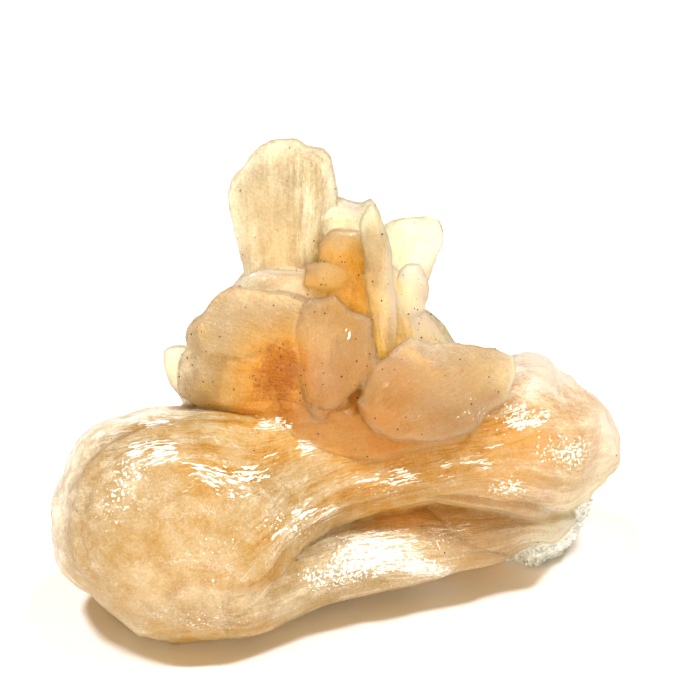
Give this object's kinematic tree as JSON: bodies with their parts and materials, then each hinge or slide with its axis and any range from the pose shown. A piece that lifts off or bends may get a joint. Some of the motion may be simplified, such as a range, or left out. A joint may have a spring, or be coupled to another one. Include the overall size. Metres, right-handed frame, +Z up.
{
  "type": "stilbite specimen",
  "caption": "Peach stilbite mineral specimen: a bow-tie sheaf of crystals with a crown of tabular blades on top, on a remnant of host rock; rests on a flat base.",
  "frame": {"origin": "middle of the box round the specimen, on the level of its flat base", "axes": "+Z up, +X to the right along the sheaf as the specimen is shown, -Y towards the viewer"},
  "size_m": [0.1284, 0.0829, 0.1038],
  "materials": {
    "stilbite": "translucent peach to honey crystal, pearly and finely striated",
    "host_rock": "matt granular grey-green basalt matrix"
  },
  "bodies": {
    "root": {"stilbite_crystals": "stilbite", "host_rock": "host_rock"}
  },
  "joints": []
}
